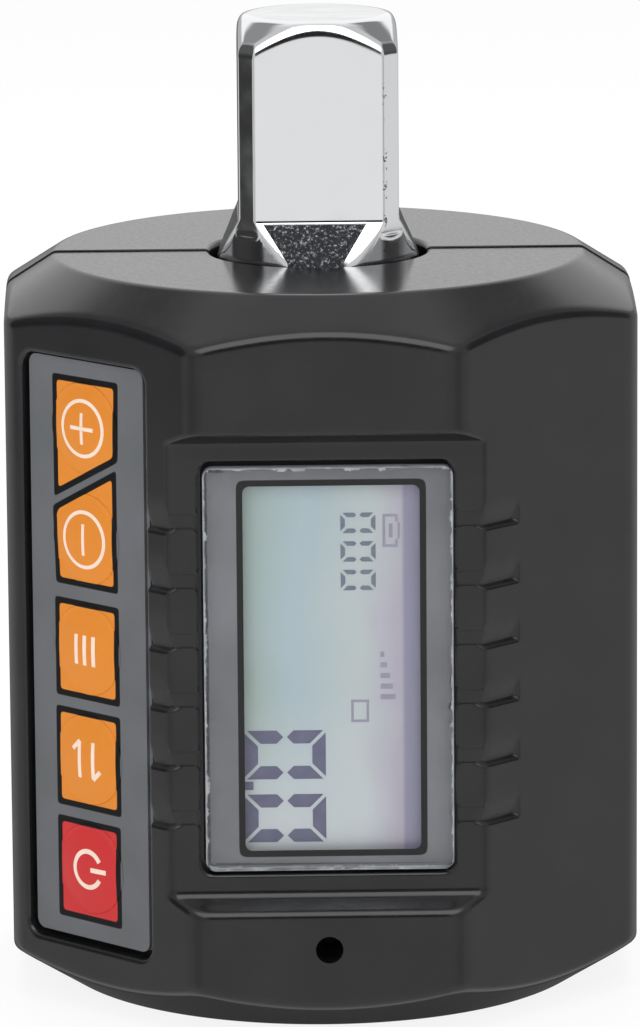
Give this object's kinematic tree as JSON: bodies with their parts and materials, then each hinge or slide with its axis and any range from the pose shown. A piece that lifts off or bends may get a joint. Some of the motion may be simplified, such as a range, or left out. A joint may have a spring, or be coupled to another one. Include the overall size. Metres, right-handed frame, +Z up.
{
  "type": "digital torque adapter",
  "caption": "Octagonal housing with a recessed display and a side keypad around a steel shaft, square drive on top and square socket below, that measures tightening torque.",
  "frame": {"origin": "on the drive axis, at the housing's flat bottom end face", "axes": "+Z up the drive axis towards the male square, -Y out of the display, +X to the right of someone reading the display"},
  "size_m": [0.05, 0.05, 0.0774],
  "materials": {
    "housing_abs": "satin moulded ABS",
    "chrome_steel": "bright chrome plating on steel",
    "ball_steel": "polished",
    "spring_steel": "bright drawn",
    "zinc_screw": "zinc plated",
    "gauge_foil": "polyimide foil",
    "wire_sheath": "smooth PVC",
    "clear_acrylic": "clear, polished",
    "mask_ink": "screen-printed film",
    "foam_tape": "matt",
    "display_glass": "polarised display glass",
    "white_plastic": "moulded",
    "silicone_strip": "matt",
    "circuit_board": "solder mask",
    "chip_epoxy": "moulded epoxy",
    "capacitor_can": "plain can",
    "clear_film": "polyester film",
    "grey_polyester": "printed polyester film",
    "flex_film": "polyimide flex",
    "orange_polyester": "printed polyester dome",
    "red_polyester": "printed polyester dome",
    "cell_can": "plain wrapped steel can"
  },
  "bodies": {
    "housing": {"front_shell": "housing_abs", "rear_shell": "housing_abs", "case_screws": "zinc_screw", "drive_shaft": "chrome_steel", "detent_spring": "spring_steel", "strain_gauges": "gauge_foil", "gauge_wires": "wire_sheath", "display_lens": "clear_acrylic", "lens_mask": "mask_ink", "lens_tape": "foam_tape", "lcd_panel": "display_glass", "lcd_frame": "white_plastic", "contact_strips": "silicone_strip", "main_board": "circuit_board", "processor_chip": "chip_epoxy", "amplifier_chip": "chip_epoxy", "board_capacitors": "capacitor_can", "tail_connector": "white_plastic", "board_screws": "zinc_screw", "buzzer": "chip_epoxy", "keypad_board": "circuit_board", "keypad_spacer": "clear_film", "keypad_overlay": "grey_polyester", "keypad_tail": "flex_film", "plus_dome": "spring_steel", "minus_dome": "spring_steel", "menu_dome": "spring_steel", "unit_dome": "spring_steel", "power_dome": "spring_steel", "battery_left": "cell_can", "battery_right": "cell_can", "contact_springs": "spring_steel", "contact_plates": "spring_steel", "battery_leads": "wire_sheath"},
    "door": {"battery_door": "housing_abs", "door_screw": "zinc_screw"},
    "ball": {"detent_ball": "ball_steel"},
    "plus_button": {"plus_key": "orange_polyester"},
    "minus_button": {"minus_key": "orange_polyester"},
    "menu_button": {"menu_key": "orange_polyester"},
    "unit_button": {"unit_key": "orange_polyester"},
    "power_button": {"power_key": "red_polyester"}
  },
  "joints": [
    {"name": "door_off", "type": "slide", "parent": "housing", "child": "door", "axis": [0, 1, 0], "range_m": [0, 0.025]},
    {"name": "ball_press", "type": "slide", "parent": "housing", "child": "ball", "axis": [0, -1, 0], "range_m": [0, 0.00072], "stiffness_N_per_m": 4000, "deforming": ["detent_spring"]},
    {"name": "plus_press", "type": "slide", "parent": "housing", "child": "plus_button", "axis": [0.7071, 0.7071, 0], "range_m": [0, 0.0003], "stiffness_N_per_m": 5000, "deforming": ["plus_dome"]},
    {"name": "minus_press", "type": "slide", "parent": "housing", "child": "minus_button", "axis": [0.7071, 0.7071, 0], "range_m": [0, 0.0003], "stiffness_N_per_m": 5000, "deforming": ["minus_dome"]},
    {"name": "menu_press", "type": "slide", "parent": "housing", "child": "menu_button", "axis": [0.7071, 0.7071, 0], "range_m": [0, 0.0003], "stiffness_N_per_m": 5000, "deforming": ["menu_dome"]},
    {"name": "unit_press", "type": "slide", "parent": "housing", "child": "unit_button", "axis": [0.7071, 0.7071, 0], "range_m": [0, 0.0003], "stiffness_N_per_m": 5000, "deforming": ["unit_dome"]},
    {"name": "power_press", "type": "slide", "parent": "housing", "child": "power_button", "axis": [0.7071, 0.7071, 0], "range_m": [0, 0.0003], "stiffness_N_per_m": 5000, "deforming": ["power_dome"]}
  ]
}
